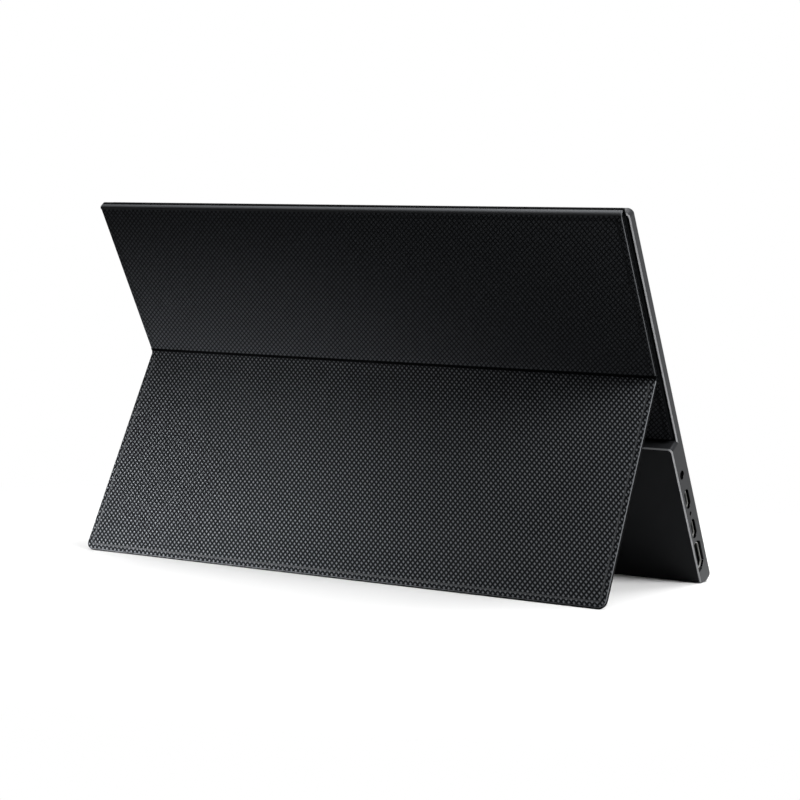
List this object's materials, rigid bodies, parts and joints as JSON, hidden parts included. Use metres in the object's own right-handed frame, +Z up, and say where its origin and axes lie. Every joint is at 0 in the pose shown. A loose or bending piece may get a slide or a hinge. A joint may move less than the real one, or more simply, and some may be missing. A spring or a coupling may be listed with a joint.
{
  "type": "portable monitor with cover",
  "caption": "Slim flat display with a thicker lower rear housing and side ports, standing on a textured cover folded over its top into a leaning leg.",
  "frame": {"origin": "on the table, under the middle of the whole as it stands", "axes": "+X along the width, towards the side with the power button; +Y from the screen towards the leg; +Z up"},
  "size_m": [0.3002, 0.128, 0.1829],
  "materials": {
    "housing_metal": "dark anodised, satin",
    "bezel_plastic": "fine matte",
    "screen_glass": "dark, low reflection",
    "clear_acrylic": "clear to milky",
    "white_film": "white, matte",
    "circuit_board": "green solder mask",
    "black_plastic": "moulded, matte",
    "ribbon": "flat flexible film",
    "foam": "soft foam",
    "plated_steel": "nickel plated",
    "foot_rubber": "matte",
    "cover_leather": "near black, with fine raised dots in a staggered lattice",
    "stiffener": "fibre-filled sheet",
    "cover_backing": "smooth near-black facing sheet"
  },
  "bodies": {
    "monitor": {"rear_housing": "housing_metal", "front_bezel": "bezel_plastic", "lcd_cell": "screen_glass", "optical_films": "clear_acrylic", "light_guide": "clear_acrylic", "reflector": "white_film", "panel_frame": "white_film", "led_bar": "circuit_board", "panel_tape": "foam", "driver_board": "circuit_board", "panel_cable": "ribbon", "main_board": "circuit_board", "board_chips": "black_plastic", "board_screws": "plated_steel", "headphone_jack": "black_plastic", "usb_c_upper": "plated_steel", "usb_c_lower": "plated_steel", "hdmi_port": "plated_steel", "light_pipe": "clear_acrylic", "speaker_left": "black_plastic", "speaker_right": "black_plastic", "button_board": "circuit_board", "housing_magnets": "plated_steel", "chin_magnets": "plated_steel", "foot_strip": "foot_rubber", "back_skin": "cover_leather", "back_board": "stiffener", "back_magnets": "plated_steel", "back_backing": "cover_backing"},
    "spine_low": {"spine_lower": "cover_leather"},
    "spine_high": {"spine_upper": "cover_leather"},
    "outer_panel": {"upper_skin": "cover_leather", "upper_board": "stiffener", "upper_backing": "cover_backing"},
    "crease": {"crease_web": "cover_leather"},
    "leg": {"leg_skin": "cover_leather", "leg_board": "stiffener", "leg_magnets": "plated_steel", "leg_backing": "cover_backing"},
    "power_button": {"power_button": "housing_metal"},
    "wheel_carrier": {"wheel_carrier": "black_plastic"},
    "menu_wheel": {"menu_wheel": "black_plastic"}
  },
  "joints": [
    {"name": "spine_fold_low", "type": "hinge", "parent": "monitor", "child": "spine_low", "pos_m": [0, 0.05552, 0.17988], "axis": [1, 0, 0], "range_deg": [0, 59]},
    {"name": "spine_fold_high", "type": "hinge", "parent": "spine_low", "child": "spine_high", "pos_m": [0, 0.05729, 0.1823], "axis": [1, 0, 0], "range_deg": [0, 142.1]},
    {"name": "cover_fold", "type": "hinge", "parent": "spine_high", "child": "outer_panel", "pos_m": [0, 0.06029, 0.17986], "axis": [1, 0, 0], "range_deg": [0, 158.8]},
    {"name": "crease_high", "type": "hinge", "parent": "outer_panel", "child": "crease", "pos_m": [0, 0.01295, 0.10497], "axis": [-1, 0, 0], "range_deg": [-70, 36]},
    {"name": "crease_low", "type": "hinge", "parent": "crease", "child": "leg", "pos_m": [0, 0.0122, 0.10378], "axis": [-1, 0, 0], "range_deg": [-45, 50.5]},
    {"name": "power_press", "type": "slide", "parent": "monitor", "child": "power_button", "axis": [-1, 0, 0], "range_m": [0, 0.0006], "stiffness_N_per_m": 800, "springref_m": -0.0004},
    {"name": "wheel_press", "type": "slide", "parent": "monitor", "child": "wheel_carrier", "axis": [-1, 0, 0], "range_m": [0, 0.0004], "stiffness_N_per_m": 1200, "springref_m": -0.0004},
    {"name": "wheel_rock", "type": "hinge", "parent": "wheel_carrier", "child": "menu_wheel", "pos_m": [0.1452, -0.02958, 0.04152], "axis": [0, 0.8453, -0.5344], "range_deg": [-12, 12], "stiffness_Nm_per_rad": 0.02}
  ]
}
